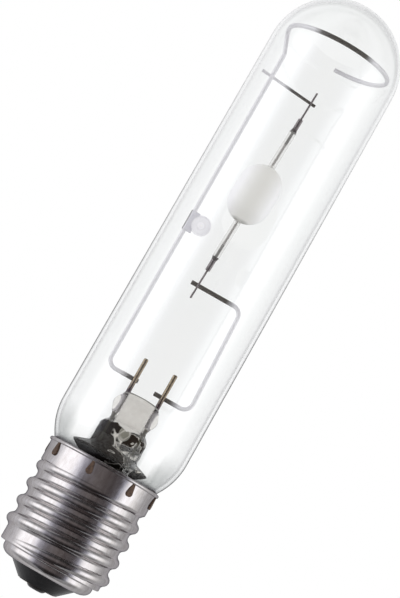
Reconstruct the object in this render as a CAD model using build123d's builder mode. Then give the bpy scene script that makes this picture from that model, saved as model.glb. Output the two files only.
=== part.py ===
from build123d import *

import math
import os

os.makedirs("parts", exist_ok=True)

# Clear tubular metal halide lamp with a ceramic arc tube and an E40 screw cap.
# Sizes are in millimetres. Z runs along the lamp from the centre contact (Z = 0) to the dome.
# -Y is the side that shows both lead pins in front of the frame wires, +X is to the right there.

# Fits
BOND_GAP = 0.03  # between pieces that are fused, cemented or moulded together
WELD_GAP = 0.02  # between round wires that are welded side by side
RIM_GAP = 0.15  # between the cap rim and the glass shoulder

# Screw cap
CAP_HEIGHT = 45.5
THREAD_MAJOR_D = 39.4
THREAD_MINOR_D = 35.8
THREAD_PITCH = 6.35
THREAD_CREST_Z = 13.3  # lowest full crest, on the +X side
THREAD_FADE = 0.45  # turns over which each end of the thread sinks into the plain wall
THREAD_TOP_DROP = 2.0  # highest full crest below the skirt
THREAD_LAND = 0.1  # the plain core stands this much proud of the thread root
THREAD_BURIED = 1.2  # how deep the thread's ridge reaches into the core it is joined to
SHELL_SHEET = 0.5
SKIRT_D = 38.6
SKIRT_HEIGHT = 8.0
SKIRT_SLOPE_HEIGHT = 1.3  # slope from the skirt down to the thread root
RIM_FLARE_HEIGHT = 3.0
DISH_D = 32.2
DISH_HEIGHT = 3.8
DISH_ROUND = 2.8
MOUTH_D = 23.2

# Keyhole slots in the skirt and the cement that fills them
SLOT_COUNT = 8
SLOT_AZIMUTH = 11.0  # first slot, degrees towards -X from -Y
SLOT_WIDTH = 2.2
SLOT_TIP_WIDTH = 0.6
SLOT_LENGTH = 5.0
SLOT_TO_RIM = 0.5
CEMENT_HEIGHT = 6.6
CEMENT_TO_RIM = 0.2
CEMENT_BULGE = 0.5  # how far the cement stands out of a slot

# Insulator and centre contact
SOLDER_HEIGHT = 1.1
SOLDER_D = 7.0
SOLDER_FLAT_D = 3.6
CONTACT_D = 12.6
CONTACT_THICKNESS = 0.6
CONTACT_PROUD = 0.2
CONTACT_HOLE_D = 1.0
INSULATOR_CONE_HEIGHT = 4.4
INSULATOR_END_D = 13.8
INSULATOR_HOLE_D = 3.0
INSULATOR_FLANGE = 2.6

# Outer bulb
BULB_D = 46.0
BULB_WALL = 1.2
NECK_GAP = 0.9  # between the neck and the thread root inside the shell
NECK_LENGTH = 17.5  # how far the neck reaches below the rim
SHOULDER_MID = 1.4  # middle of the shoulder curve above the rim
SHOULDER_REACH = 11.6  # from that middle to each end of the curve
LIGHT_ABOVE_RIM = 102.5
DOME_ABOVE_LIGHT = 51.0  # centre of the dome above the light centre

# Glass stem: heights above the rim unless they say otherwise
STEM_WALL = 1.5
STEM_SEAL_HEIGHT = 1.2
STEM_NECK_D = 18.4
STEM_TUBE_D = 17.2
RIB_D = 27.6
RIB_HEIGHT = 3.0
RIB_SPAN_UP = 2.1
RIB_SPAN_DOWN = 2.6
RIB_EDGE = 0.35
TUBE_TOP = 11.0
TUBE_ROUND = 3.4
PRESS_TOP = 25.2
PRESS_CROWN = 0.9
PRESS_WIDTH = 13.2
PRESS_EAR_WIDTH = 16.3
PRESS_EAR_Z = 20.0
PRESS_EAR_HALF = 3.6
PRESS_THICKNESS = 5.6
PRESS_ROUND = 1.0
PRESS_ROOT = 9.5

# Exhaust tube
EXHAUST_D = 3.8
EXHAUST_BORE = 2.2
EXHAUST_TOP = 14.5  # above the rim
EXHAUST_TIP = 22.0  # below the rim
EXHAUST_PORT_D = 1.6
EXHAUST_PORT_Z = 12.2

# Lead-ins
PIN_D = 1.6
PIN_SPACING = 10.9
PIN_TOP = 36.8  # above the rim
PIN_FOOT = 16.8
PIN_CHAMFER = 0.25
SEAL_WIRE_D = 1.0
SEAL_WIRE_FOOT = 7.5
LEAD_D = 0.7
LEAD_BEND = 3.0
SHELL_WELD_D = 1.6
SHELL_WELD_CREST = 1  # welded to the thread root this many pitches above the first crest
CONTACT_LEAD_TURN_TOP = 14.0  # below the rim, where the lead starts towards the axis
CONTACT_LEAD_TURN_FOOT = 30.0

# Frame
FRAME_WIRE_D = 1.5
CROSS_WIRE_D = 1.05
LEFT_WELD_Z = 29.1  # above the rim
RIGHT_WELD_Z = 28.3
WELD_OVERHANG = 1.2  # wire end past the weld on a pin
RIGHT_WELD_OVERHANG = 3.3
FRAME_WALL_ROOM = 5.8  # from the long wire's axis to the inside of the bulb
RISER_WALL_ROOM = 6.6  # from the short riser's foot to the inside of the bulb
RISER_LEAN = 1.3  # the riser's top stands this much nearer the axis
FRAME_BEND = 3.2
LOWER_CROSS_BELOW_LIGHT = 36.0
LOWER_CROSS_PAST = 2.5  # wire end past the lower lead
UPPER_CROSS_ABOVE_LIGHT = 37.0
UPPER_CROSS_SLOPE = 5.4  # degrees, higher at the long wire
UPPER_CROSS_PAST = 1.7
UPPER_CROSS_OUTER = 4.1  # wire end past the long wire
RING_WALL_ROOM = 3.0  # from the ring's wire axis to the inside of the bulb
RING_ABOVE_DOME_CENTRE = 4.2
RING_TILT = 2.7
RING_START_ANGLE = 188.0
RING_END_ANGLE = 446.0
RING_KINK = 8.2  # height of the outward bend below the ring
RING_BEND = 2.2

# Getter
CLIP_SHEET = 0.25
CLIP_HEIGHT = 7.0
CLIP_REACH = 2.4  # from the frame wire's axis towards the lamp axis
GETTER_BELOW_LIGHT = 18.4
PAN_D = 6.9
PAN_DEPTH = 1.2
PAN_FLOOR = 0.3
PAN_LIP = 0.3
PAN_HUB_D = 2.4
PAN_OVERLAP = 1.6  # of the pan and the clip
COMPOUND_DEPTH = 0.6

# Arc tube, measured along its own axis from the light centre
ARC_BODY_D = 15.0
ARC_STRAIGHT = 6.4
ARC_WALL = 0.9
CAPILLARY_D = 2.6
CAPILLARY_BORE = 1.0
CAPILLARY_END = 25.0
ARC_LOWER_X = -2.75  # where the arc tube's axis crosses the lower support
ARC_UPPER_X = 0.0  # and the upper cross wire
SLEEVE_D = 1.7
SLEEVE_END = 30.2
ARC_LEAD_D = 0.7
ARC_LEAD_END = 41.0
ROD_D = 0.8
ROD_END = 12.0
FRIT_DEPTH = 5.0
FRIT_BEAD_D = 2.4
FRIT_BEAD_HEIGHT = 1.2
FRIT_LAYER = 0.3  # between the capillary's end and the sleeve
ELECTRODE_D = 0.5
ELECTRODE_TIP = 5.0
COIL_D = 1.1
COIL_LENGTH = 2.6

# Heights and radii that follow from the sizes above
dish_z = SOLDER_HEIGHT + INSULATOR_CONE_HEIGHT
foot_z = dish_z + DISH_HEIGHT
skirt_z = CAP_HEIGHT - SKIRT_HEIGHT
core_r = THREAD_MINOR_D / 2 + THREAD_LAND
skirt_r = SKIRT_D / 2
bulb_r = BULB_D / 2
bulb_inner_r = bulb_r - BULB_WALL
neck_r = THREAD_MINOR_D / 2 - SHELL_SHEET - NECK_GAP
neck_z = CAP_HEIGHT - NECK_LENGTH
light_z = CAP_HEIGHT + LIGHT_ABOVE_RIM
dome_z = light_z + DOME_ABOVE_LIGHT
pin_x = PIN_SPACING / 2

# The shoulder is two equal arcs, tangent to each other, to the bulb and to the neck
shoulder_z = CAP_HEIGHT + SHOULDER_MID
shoulder_turn = 2 * math.atan((bulb_r - neck_r) / (2 * SHOULDER_REACH))
shoulder_arc = SHOULDER_REACH / math.sin(shoulder_turn)


def shoulder_radius(z):
    """Outer radius of the lower half of the glass shoulder at height z."""
    rise = z - (shoulder_z - SHOULDER_REACH)
    return neck_r + shoulder_arc - math.sqrt(shoulder_arc**2 - rise**2)


rim_r = shoulder_radius(CAP_HEIGHT) + RIM_GAP + SHELL_SHEET


def bulb_form(grow):
    """Solid bounded by the outside of the bulb, moved outwards by grow."""
    turn = math.degrees(shoulder_turn)
    with BuildPart() as form:
        with BuildSketch(Plane.XZ):
            with BuildLine():
                Line((0, neck_z), (neck_r + grow, neck_z))
                Line((neck_r + grow, neck_z), (neck_r + grow, shoulder_z - SHOULDER_REACH))
                lower = (neck_r + shoulder_arc, shoulder_z - SHOULDER_REACH)
                CenterArc(lower, shoulder_arc - grow, 180, -turn)
                upper = (bulb_r - shoulder_arc, shoulder_z + SHOULDER_REACH)
                CenterArc(upper, shoulder_arc + grow, -turn, turn)
                Line((bulb_r + grow, shoulder_z + SHOULDER_REACH), (bulb_r + grow, dome_z))
                CenterArc((0, dome_z), bulb_r + grow, 0, 90)
                Line((0, dome_z + bulb_r + grow), (0, neck_z))
            make_face()
        revolve(axis=Axis.Z)
    return form.part


def thread_ridges(inset):
    """The round thread, its run-in and its run-out as helical ridges, moved inwards by inset."""
    depth = (THREAD_MAJOR_D - THREAD_MINOR_D) / 2
    round_r = (THREAD_PITCH**2 / 4 + depth**2) / (4 * depth)
    crest_arc = round_r - inset
    root_arc = round_r + inset
    plain_r = core_r - inset
    buried_r = plain_r - THREAD_BURIED
    crest_x = THREAD_MAJOR_D / 2 - round_r
    root_x = crest_x + 2 * round_r - depth
    root_y = THREAD_PITCH / 2
    flank = math.degrees(math.atan2(root_y, root_x - crest_x))
    foot = math.degrees(math.acos((root_x - plain_r) / root_arc))
    foot_y = root_y - root_arc * math.sin(math.radians(foot))

    top_z = skirt_z - THREAD_TOP_DROP
    fade_height = THREAD_FADE * THREAD_PITCH
    sink_foot = math.degrees(math.atan((depth + THREAD_LAND) / fade_height))
    sink_top = math.degrees(math.atan((THREAD_MAJOR_D / 2 - skirt_r + THREAD_LAND) / fade_height))
    top_turn = 360 * (top_z - THREAD_CREST_Z) / THREAD_PITCH
    runs = (
        (THREAD_CREST_Z, top_z - THREAD_CREST_Z, 1, 0, 0),
        (THREAD_CREST_Z, fade_height, -1, -sink_foot, 0),
        (top_z, fade_height, 1, -sink_top, top_turn),
    )
    ridges = []
    for start_z, height, way, cone, turn in runs:
        with BuildPart() as ridge:
            with BuildLine() as path:
                Helix(THREAD_PITCH, height, plain_r, (0, 0, start_z), (0, 0, way), cone)
            start = path.line @ 0
            outwards = Vector(start.X, start.Y, 0).normalized()
            with BuildSketch(Plane((0, 0, start_z), outwards, outwards.cross(Vector(0, 0, 1)))):
                with BuildLine():
                    CenterArc((crest_x, 0), crest_arc, -flank, 2 * flank)
                    CenterArc((root_x, root_y), root_arc, 180 + foot, flank - foot)
                    Polyline((plain_r, foot_y), (buried_r, foot_y), (buried_r, -foot_y), (plain_r, -foot_y))
                    CenterArc((root_x, -root_y), root_arc, 180 - flank, flank - foot)
                make_face()
            sweep(path=path.line, is_frenet=True)
        start_turn = math.degrees(math.atan2(start.Y, start.X))
        ridges.append(ridge.part.rotate(Axis.Z, turn - start_turn))
    return ridges


def shell_core(inset):
    """Solid bounded by the shell's plain wall and skirt, moved inwards by inset."""
    with BuildPart() as core:
        with BuildSketch(Plane.XZ):
            Polygon(
                (0, dish_z),
                (core_r - inset, dish_z),
                (core_r - inset, skirt_z - SKIRT_SLOPE_HEIGHT),
                (skirt_r - inset, skirt_z),
                (skirt_r - inset, CAP_HEIGHT - RIM_FLARE_HEIGHT),
                (rim_r - inset, CAP_HEIGHT),
                (0, CAP_HEIGHT),
                align=None,
            )
        revolve(axis=Axis.Z)
    return core.part


def shell_form(core, inset):
    """The core with its thread, cut off level with the foot and standing on the dish."""
    level = foot_z + inset
    with BuildPart() as form:
        add(core)
        for ridge in thread_ridges(inset):
            add(ridge)
        split(bisect_by=Plane.XY.offset(level))
        with BuildSketch(Plane.XZ) as section:
            Polygon(
                (0, dish_z + inset),
                (DISH_D / 2 - inset, dish_z + inset),
                (DISH_D / 2 - inset, level + SHELL_SHEET),
                (0, level + SHELL_SHEET),
                align=None,
            )
            fillet(section.vertices().group_by(Axis.Y)[0].sort_by(Axis.X)[-1], DISH_ROUND - inset)
        revolve(axis=Axis.Z)
    return form.part


# Upright planes round the skirt, one for each keyhole slot, facing outwards
slot_planes = []
for slot in range(SLOT_COUNT):
    azimuth = math.radians(270 - SLOT_AZIMUTH + slot * 360 / SLOT_COUNT)
    outwards = Vector(math.cos(azimuth), math.sin(azimuth), 0)
    along = Vector(0, 0, 1).cross(outwards)
    slot_planes.append(Plane((0, 0, CAP_HEIGHT - SLOT_TO_RIM), along, outwards))


def slot_form(grow, reach):
    """Keyhole shapes round the skirt, grown sideways by grow, out to the radius reach."""
    with BuildPart() as form:
        with BuildSketch(*slot_planes):
            with Locations((0, SLOT_WIDTH / 2 - SLOT_LENGTH)):
                Circle(SLOT_WIDTH / 2 + grow)
            with Locations((0, -SLOT_TIP_WIDTH / 2)):
                Circle(SLOT_TIP_WIDTH / 2 + grow)
            make_hull()
        extrude(amount=reach)
        with BuildSketch():
            Circle(neck_r)
        extrude(amount=CAP_HEIGHT + SLOT_LENGTH, mode=Mode.SUBTRACT)
    return form.part


# Screw shell: one rolled sheet with the thread, skirt, rim, keyhole slots and bottom dish
with BuildPart() as slotted_core:
    add(shell_core(0))
    add(slot_form(BOND_GAP, THREAD_MAJOR_D), mode=Mode.SUBTRACT)

with BuildPart() as screw_shell:
    add(shell_form(slotted_core.part, 0))
    add(shell_form(shell_core(SHELL_SHEET), SHELL_SHEET), mode=Mode.SUBTRACT)
    with BuildSketch(Plane.XY.offset(dish_z)):
        Circle(MOUTH_D / 2)
    extrude(amount=SHELL_SHEET, mode=Mode.SUBTRACT)

# Basing cement: ring between the neck and the skirt that swells out of the slots
with BuildPart() as basing_cement:
    cement_top = CAP_HEIGHT - CEMENT_TO_RIM
    lining = SHELL_SHEET + BOND_GAP
    with BuildSketch(Plane.XZ):
        Polygon(
            (neck_r, cement_top - CEMENT_HEIGHT),
            (skirt_r - lining, cement_top - CEMENT_HEIGHT),
            (skirt_r - lining, CAP_HEIGHT - RIM_FLARE_HEIGHT),
            (rim_r - lining - (rim_r - skirt_r) * CEMENT_TO_RIM / RIM_FLARE_HEIGHT, cement_top),
            (neck_r, cement_top),
            align=None,
        )
    revolve(axis=Axis.Z)
    add(slot_form(0, skirt_r + CEMENT_BULGE))
    add(bulb_form(BOND_GAP), mode=Mode.SUBTRACT)

# Cap insulator: black glass moulded into the dish and out through the mouth of the shell
with BuildPart() as cap_insulator:
    seat = SHELL_SHEET + BOND_GAP
    end_z = SOLDER_HEIGHT + CONTACT_PROUD
    flange_z = foot_z + SHELL_SHEET + INSULATOR_FLANGE
    with BuildSketch(Plane.XZ) as section:
        Polygon(
            (0, end_z),
            (INSULATOR_END_D / 2, end_z),
            (MOUTH_D / 2 - BOND_GAP, dish_z),
            (MOUTH_D / 2 - BOND_GAP, dish_z + seat),
            (DISH_D / 2 - seat, dish_z + seat),
            (DISH_D / 2 - seat, foot_z + seat),
            (core_r - seat, foot_z + seat),
            (core_r - seat, flange_z),
            (0, flange_z),
            align=None,
        )
        inner_edge = section.vertices().filter_by_position(Axis.Y, dish_z, foot_z).sort_by(Axis.X)[-1]
        fillet(inner_edge, DISH_ROUND - SHELL_SHEET)
    revolve(axis=Axis.Z)
    with BuildSketch():
        Circle(INSULATOR_HOLE_D / 2)
    extrude(amount=flange_z, mode=Mode.SUBTRACT)
    with BuildSketch(Plane.XY.offset(SOLDER_HEIGHT)):
        Circle(CONTACT_D / 2 + BOND_GAP)
    extrude(amount=CONTACT_THICKNESS + BOND_GAP, mode=Mode.SUBTRACT)

# Centre contact: flat plate let into the end of the insulator
with BuildPart() as centre_contact:
    with BuildSketch(Plane.XY.offset(SOLDER_HEIGHT)):
        Circle(CONTACT_D / 2)
        Circle(CONTACT_HOLE_D / 2, mode=Mode.SUBTRACT)
    extrude(amount=CONTACT_THICKNESS)

# Contact solder: low dome on the plate, worn flat at the tip, over the end of the contact lead
contact_lead_end = SOLDER_HEIGHT / 2
with BuildPart() as contact_solder:
    with BuildSketch(Plane.XZ):
        with BuildLine():
            Polyline((0, SOLDER_HEIGHT), (0, 0), (SOLDER_FLAT_D / 2, 0))
            TangentArc((SOLDER_FLAT_D / 2, 0), (SOLDER_D / 2, SOLDER_HEIGHT), tangent=(1, 0))
            Line((SOLDER_D / 2, SOLDER_HEIGHT), (0, SOLDER_HEIGHT))
        make_face()
    revolve(axis=Axis.Z)
    with BuildSketch(Plane.XY.offset(contact_lead_end)):
        Circle(LEAD_D / 2)
    extrude(amount=SOLDER_HEIGHT, mode=Mode.SUBTRACT)

# Outer bulb: blown tube with dome, shoulder and open neck
with BuildPart() as outer_bulb:
    add(bulb_form(0))
    add(bulb_form(-BULB_WALL), mode=Mode.SUBTRACT)


def exhaust_form(radius, top):
    """Round-ended rod along the lamp axis."""
    tip_z = CAP_HEIGHT - EXHAUST_TIP
    with BuildPart() as form:
        with BuildSketch(Plane.XZ):
            with BuildLine():
                Line((0, tip_z), (0, top))
                CenterArc((0, top - radius), radius, 0, 90)
                Line((radius, top - radius), (radius, tip_z + radius))
                CenterArc((0, tip_z + radius), radius, -90, 90)
            make_face()
        revolve(axis=Axis.Z)
    return form.part


def exhaust_port():
    """Round way from the exhaust tube's bore out of the front of the stem."""
    with BuildPart() as form:
        with BuildSketch(Plane.XZ):
            with Locations((0, CAP_HEIGHT + EXHAUST_PORT_Z)):
                Circle(EXHAUST_PORT_D / 2)
        extrude(amount=STEM_TUBE_D)
    return form.part


exhaust_top_z = CAP_HEIGHT + EXHAUST_TOP

# Exhaust tube: fused into the root of the press, tipped off inside the cap
with BuildPart() as exhaust_tube:
    add(exhaust_form(EXHAUST_D / 2, exhaust_top_z))
    wall = (EXHAUST_D - EXHAUST_BORE) / 2
    with BuildSketch(Plane.XY.offset(CAP_HEIGHT - EXHAUST_TIP + wall + EXHAUST_D / 2)):
        Circle(EXHAUST_BORE / 2)
    extrude(amount=EXHAUST_TIP + EXHAUST_TOP - 2 * wall - EXHAUST_D, mode=Mode.SUBTRACT)
    add(exhaust_port(), mode=Mode.SUBTRACT)

# Press: flat top of the stem, with an ear on each side and a crowned upper edge
press_top_z = CAP_HEIGHT + PRESS_TOP
with BuildPart() as press:
    half = PRESS_WIDTH / 2
    ear = PRESS_EAR_WIDTH / 2
    root_z = CAP_HEIGHT + PRESS_ROOT
    ear_z = CAP_HEIGHT + PRESS_EAR_Z
    ear_foot_z = ear_z - PRESS_EAR_HALF
    ear_head_z = ear_z + PRESS_EAR_HALF
    corner_z = press_top_z - PRESS_CROWN
    with BuildSketch(Plane.XZ):
        with BuildLine():
            Polyline((-half, ear_foot_z), (-half, root_z), (half, root_z), (half, ear_foot_z))
            ThreePointArc((half, ear_foot_z), (ear, ear_z), (half, ear_head_z))
            Line((half, ear_head_z), (half, corner_z))
            ThreePointArc((half, corner_z), (0, press_top_z), (-half, corner_z))
            Line((-half, corner_z), (-half, ear_head_z))
            ThreePointArc((-half, ear_head_z), (-ear, ear_z), (-half, ear_foot_z))
        make_face()
    extrude(amount=PRESS_THICKNESS / 2, both=True)
    fillet(press.faces().filter_by(Axis.Y).edges(), PRESS_ROUND)

# Glass stem: seal ring under the neck, flare, rib, tube and press in one piece of glass
with BuildPart() as glass_stem:
    seal_r = neck_r - BULB_WALL - RIM_GAP
    seal_z = neck_z - STEM_SEAL_HEIGHT
    rib_z = CAP_HEIGHT + RIB_HEIGHT
    tube_r = STEM_TUBE_D / 2
    stem_neck_r = STEM_NECK_D / 2
    tube_top_z = CAP_HEIGHT + TUBE_TOP
    with BuildSketch(Plane.XZ):
        with BuildLine():
            Polyline((0, seal_z), (neck_r, seal_z), (neck_r, neck_z), (seal_r, neck_z))
            Line((seal_r, neck_z), (stem_neck_r, rib_z - RIB_SPAN_DOWN))
            rib_foot = (RIB_D / 2 - RIB_EDGE, rib_z - RIB_EDGE)
            rib_head = (RIB_D / 2 - RIB_EDGE, rib_z + RIB_EDGE)
            Line((stem_neck_r, rib_z - RIB_SPAN_DOWN), rib_foot)
            ThreePointArc(rib_foot, (RIB_D / 2, rib_z), rib_head)
            Line(rib_head, (tube_r, rib_z + RIB_SPAN_UP))
            Line((tube_r, rib_z + RIB_SPAN_UP), (tube_r, tube_top_z))
            CenterArc((tube_r - TUBE_ROUND, tube_top_z), TUBE_ROUND, 0, 90)
            Line((tube_r - TUBE_ROUND, tube_top_z + TUBE_ROUND), (0, tube_top_z + TUBE_ROUND))
            Line((0, tube_top_z + TUBE_ROUND), (0, seal_z))
        make_face()
    revolve(axis=Axis.Z)
    add(press.part)
    bore_r = tube_r - STEM_WALL
    with BuildSketch(Plane.XZ):
        with BuildLine():
            Polyline(
                (0, seal_z),
                (seal_r - STEM_WALL, seal_z),
                (stem_neck_r - STEM_WALL, rib_z - RIB_SPAN_DOWN),
                (bore_r, rib_z),
                (bore_r, tube_top_z - TUBE_ROUND),
            )
            EllipticalCenterArc((0, tube_top_z - TUBE_ROUND), bore_r, TUBE_ROUND, 0, arc_size=90)
            Line((0, tube_top_z), (0, seal_z))
        make_face()
    revolve(axis=Axis.Z, mode=Mode.SUBTRACT)
    add(exhaust_form(EXHAUST_D / 2, exhaust_top_z), mode=Mode.SUBTRACT)
    add(exhaust_port(), mode=Mode.SUBTRACT)
    with BuildSketch(Plane.XY.offset(CAP_HEIGHT + PIN_FOOT)):
        with Locations((-pin_x, 0), (pin_x, 0)):
            Circle(PIN_D / 2)
    extrude(amount=PRESS_TOP, mode=Mode.SUBTRACT)
    with BuildSketch(Plane.XY.offset(CAP_HEIGHT + SEAL_WIRE_FOOT)):
        with Locations((-pin_x, 0), (pin_x, 0)):
            Circle(SEAL_WIRE_D / 2)
    extrude(amount=PIN_FOOT - SEAL_WIRE_FOOT, mode=Mode.SUBTRACT)

pieces = {
    "screw_shell": screw_shell,
    "basing_cement": basing_cement,
    "cap_insulator": cap_insulator,
    "centre_contact": centre_contact,
    "contact_solder": contact_solder,
    "outer_bulb": outer_bulb,
    "exhaust_tube": exhaust_tube,
    "glass_stem": glass_stem,
}

# Lead pins and the seal wires below them, in the press
for side, x in (("left", -pin_x), ("right", pin_x)):
    with BuildPart() as lead_pin:
        with BuildSketch(Plane.XY.offset(CAP_HEIGHT + PIN_FOOT)):
            with Locations((x, 0)):
                Circle(PIN_D / 2)
        extrude(amount=PIN_TOP - PIN_FOOT)
        chamfer(lead_pin.faces().sort_by(Axis.Z)[-1].edges(), PIN_CHAMFER)
    with BuildPart() as seal_wire:
        with BuildSketch(Plane.XY.offset(CAP_HEIGHT + SEAL_WIRE_FOOT)):
            with Locations((x, 0)):
                Circle(SEAL_WIRE_D / 2)
        extrude(amount=PIN_FOOT - SEAL_WIRE_FOOT)
    pieces[f"{side}_lead_pin"] = lead_pin
    pieces[f"{side}_seal_wire"] = seal_wire

lead_top_z = CAP_HEIGHT + SEAL_WIRE_FOOT

# Shell lead: from the left seal wire down the flare and out to the root of the thread
shell_weld_z = THREAD_CREST_Z + SHELL_WELD_CREST * THREAD_PITCH
shell_weld_x = SHELL_WELD_D / 2 + WELD_GAP + SHELL_SHEET - core_r
with BuildPart() as shell_lead:
    with BuildLine() as path:
        FilletPolyline(
            (-pin_x, 0, lead_top_z),
            (-pin_x, 0, shell_weld_z),
            (shell_weld_x + SHELL_WELD_D / 2, 0, shell_weld_z),
            radius=LEAD_BEND,
        )
    with BuildSketch(Plane(path.line @ 0, z_dir=path.line % 0)):
        Circle(LEAD_D / 2)
    sweep(path=path.line)

# Shell weld: nugget between the shell lead and the inside of the shell
with BuildPart() as shell_weld:
    with Locations((shell_weld_x, 0, shell_weld_z)):
        Sphere(SHELL_WELD_D / 2)
    split(bisect_by=Plane((shell_weld_x + SHELL_WELD_D / 4, 0, 0), z_dir=(-1, 0, 0)))
    add(shell_lead.part, mode=Mode.SUBTRACT)

# Contact lead: from the right seal wire to the axis and down through the insulator
with BuildPart() as contact_lead:
    with BuildLine() as path:
        FilletPolyline(
            (pin_x, 0, lead_top_z),
            (pin_x, 0, CAP_HEIGHT - CONTACT_LEAD_TURN_TOP),
            (0, 0, CAP_HEIGHT - CONTACT_LEAD_TURN_FOOT),
            (0, 0, contact_lead_end),
            radius=LEAD_BEND,
        )
    with BuildSketch(Plane(path.line @ 0, z_dir=path.line % 0)):
        Circle(LEAD_D / 2)
    sweep(path=path.line)

# Frame wires run behind the pins
frame_y = PIN_D / 2 + FRAME_WIRE_D / 2 + WELD_GAP
frame_x = FRAME_WALL_ROOM - bulb_inner_r
ring_r = bulb_inner_r - RING_WALL_ROOM
ring_z = dome_z + RING_ABOVE_DOME_CENTRE


def ring_point(angle):
    """Point on the tilted ring, by its angle from +X."""
    tilt = math.radians(RING_TILT)
    across = ring_r * math.cos(math.radians(angle))
    along = ring_r * math.sin(math.radians(angle))
    return Vector(across, along * math.cos(tilt), ring_z + along * math.sin(tilt))


# Long frame wire: weld end, riser, outward kink and the open ring under the dome
ring_start = ring_point(RING_START_ANGLE)
ring_heading = (ring_point(RING_START_ANGLE + 90) - Vector(0, 0, ring_z)).normalized()
ring_corner = ring_start - ring_heading * ((frame_y - ring_start.Y) / -ring_heading.Y)
with BuildPart() as long_frame_wire:
    with BuildLine() as path:
        FilletPolyline(
            (WELD_OVERHANG - pin_x, frame_y, CAP_HEIGHT + LEFT_WELD_Z),
            (frame_x, frame_y, CAP_HEIGHT + LEFT_WELD_Z),
            (frame_x, frame_y, ring_corner.Z - RING_KINK),
            ring_corner,
            ring_start,
            radius=[FRAME_BEND, RING_BEND, RING_BEND],
        )
        ring_middle = ring_point((RING_START_ANGLE + RING_END_ANGLE) / 2)
        ThreePointArc(ring_start, ring_middle, ring_point(RING_END_ANGLE))
    with BuildSketch(Plane(path.line @ 0, z_dir=path.line % 0)):
        Circle(FRAME_WIRE_D / 2)
    sweep(path=path.line)

# Arc tube axis: in front of the lower support and of the upper cross wire
lower_z = light_z - LOWER_CROSS_BELOW_LIGHT
upper_z = light_z + UPPER_CROSS_ABOVE_LIGHT
cross_y = frame_y + FRAME_WIRE_D / 2 + CROSS_WIRE_D / 2 + WELD_GAP
arc_lower = Vector(ARC_LOWER_X, frame_y - FRAME_WIRE_D / 2 - ARC_LEAD_D / 2 - WELD_GAP, lower_z)
arc_upper = Vector(ARC_UPPER_X, cross_y - CROSS_WIRE_D / 2 - ARC_LEAD_D / 2 - WELD_GAP, upper_z)
arc_up = (arc_upper - arc_lower).normalized()
arc_centre = arc_lower + arc_up * (LOWER_CROSS_BELOW_LIGHT / arc_up.Z)
arc_side = (Vector(1, 0, 0) - arc_up * arc_up.X).normalized()
arc_section = Plane(arc_centre, x_dir=arc_side, z_dir=arc_side.cross(arc_up))
arc_axis = Axis(arc_centre, arc_up)

# Short frame wire: weld end, riser and the lower support of the arc tube
riser_x = bulb_inner_r - RISER_WALL_ROOM
with BuildPart() as short_frame_wire:
    with BuildLine() as path:
        FilletPolyline(
            (pin_x - RIGHT_WELD_OVERHANG, frame_y, CAP_HEIGHT + RIGHT_WELD_Z),
            (riser_x, frame_y, CAP_HEIGHT + RIGHT_WELD_Z),
            (riser_x - RISER_LEAN, frame_y, lower_z),
            (ARC_LOWER_X - LOWER_CROSS_PAST, frame_y, lower_z),
            radius=FRAME_BEND,
        )
    with BuildSketch(Plane(path.line @ 0, z_dir=path.line % 0)):
        Circle(FRAME_WIRE_D / 2)
    sweep(path=path.line)

# Upper cross wire: behind the long frame wire and behind the upper lead
with BuildPart() as upper_cross_wire:
    fall = math.tan(math.radians(UPPER_CROSS_SLOPE))
    inner_x = ARC_UPPER_X + UPPER_CROSS_PAST
    outer_x = frame_x - UPPER_CROSS_OUTER
    with BuildLine() as path:
        Line(
            (inner_x, cross_y, upper_z - (inner_x - ARC_UPPER_X) * fall),
            (outer_x, cross_y, upper_z - (outer_x - ARC_UPPER_X) * fall),
        )
    with BuildSketch(Plane(path.line @ 0, z_dir=path.line % 0)):
        Circle(CROSS_WIRE_D / 2)
    sweep(path=path.line)

# Getter clip: strip folded round the long frame wire, both legs towards the lamp axis
getter_z = light_z - GETTER_BELOW_LIGHT
clip_fold = FRAME_WIRE_D / 2 + WELD_GAP + CLIP_SHEET / 2
with BuildPart() as getter_clip:
    with BuildSketch(Plane.XY.offset(getter_z - CLIP_HEIGHT / 2)):
        with BuildLine() as fold:
            Line((frame_x + CLIP_REACH, frame_y - clip_fold), (frame_x, frame_y - clip_fold))
            CenterArc((frame_x, frame_y), clip_fold, 270, -180)
            Line((frame_x, frame_y + clip_fold), (frame_x + CLIP_REACH, frame_y + clip_fold))
        trace(line_width=CLIP_SHEET)
    extrude(amount=CLIP_HEIGHT)

# Getter pan: round pan with a ring channel, its back on the clip's front leg
pan_back = frame_y - clip_fold - CLIP_SHEET / 2 - WELD_GAP
pan_plane = Plane(
    (frame_x + CLIP_REACH - PAN_OVERLAP + PAN_D / 2, pan_back, getter_z), x_dir=(1, 0, 0), z_dir=(0, -1, 0)
)
with BuildPart() as getter_pan:
    with BuildSketch(pan_plane):
        Circle(PAN_D / 2)
    extrude(amount=PAN_DEPTH)
    with BuildSketch(pan_plane.offset(PAN_FLOOR)):
        Circle(PAN_D / 2 - PAN_LIP)
        Circle(PAN_HUB_D / 2, mode=Mode.SUBTRACT)
    extrude(amount=PAN_DEPTH, mode=Mode.SUBTRACT)

# Getter compound: pressed powder in the pan's channel
with BuildPart() as getter_compound:
    with BuildSketch(pan_plane.offset(PAN_FLOOR)):
        Circle(PAN_D / 2 - PAN_LIP)
        Circle(PAN_HUB_D / 2, mode=Mode.SUBTRACT)
    extrude(amount=COMPOUND_DEPTH)


def barrel_end(inset, reach):
    """Round end of the barrel's section, moved inwards by inset, up to a distance from its axis."""
    radius = ARC_BODY_D / 2 - inset
    return CenterArc((0, ARC_STRAIGHT / 2), radius, 0, math.degrees(math.acos(reach / radius)))


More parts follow.
